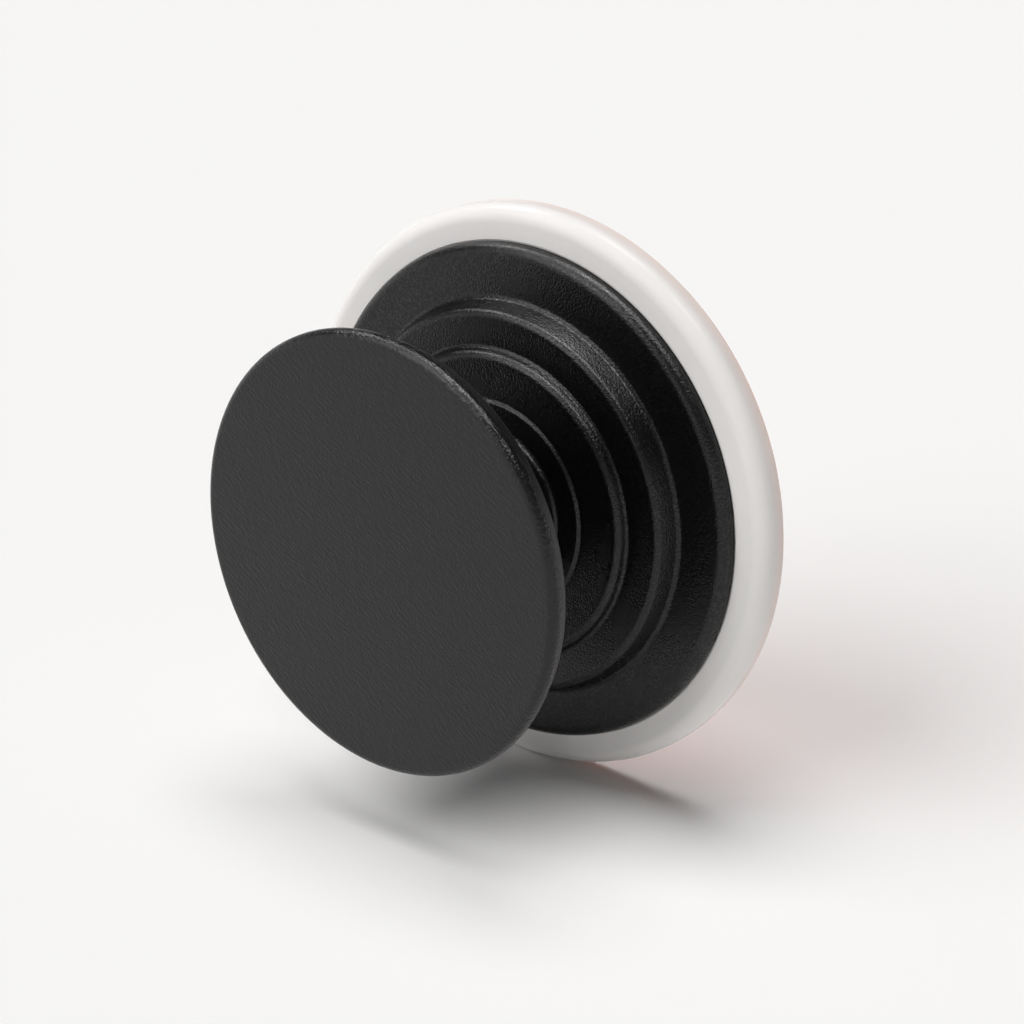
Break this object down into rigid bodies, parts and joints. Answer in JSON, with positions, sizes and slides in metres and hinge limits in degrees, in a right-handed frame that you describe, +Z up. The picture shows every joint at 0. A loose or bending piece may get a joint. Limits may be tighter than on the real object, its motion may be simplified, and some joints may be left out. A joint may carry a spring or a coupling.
{
  "type": "pop-out phone grip",
  "caption": "Round pop-out phone grip: a black bonding base, a ridged flexible accordion that collapses along its axis, and a wide white finger top with a coral face.",
  "frame": {"origin": "centre of the flat bonding face, where the grip sticks to a phone", "axes": "+Y along the grip's axis from the bonding face to the finger top, +Z up as on the back of an upright phone, +X to the right seen from the bonding face"},
  "size_m": [0.04, 0.0179, 0.04],
  "materials": {
    "pad_black": "moulded soft black with a fine leather-like grain",
    "plate_black": "satin black moulded plastic",
    "accordion_black": "flexible black elastomer with a fine moulded grain and a soft sheen",
    "top_white": "glossy milky white plastic",
    "face_coral": "glossy coral red"
  },
  "bodies": {
    "base": {"bonding_pad": "pad_black", "base_plate": "plate_black", "accordion": "accordion_black"},
    "top": {"top_button": "top_white", "face_disc": "face_coral"}
  },
  "joints": [
    {"name": "collapse", "type": "slide", "parent": "base", "child": "top", "axis": [0, -1, 0], "range_m": [0, 0.0107], "deforming": ["accordion"]}
  ]
}
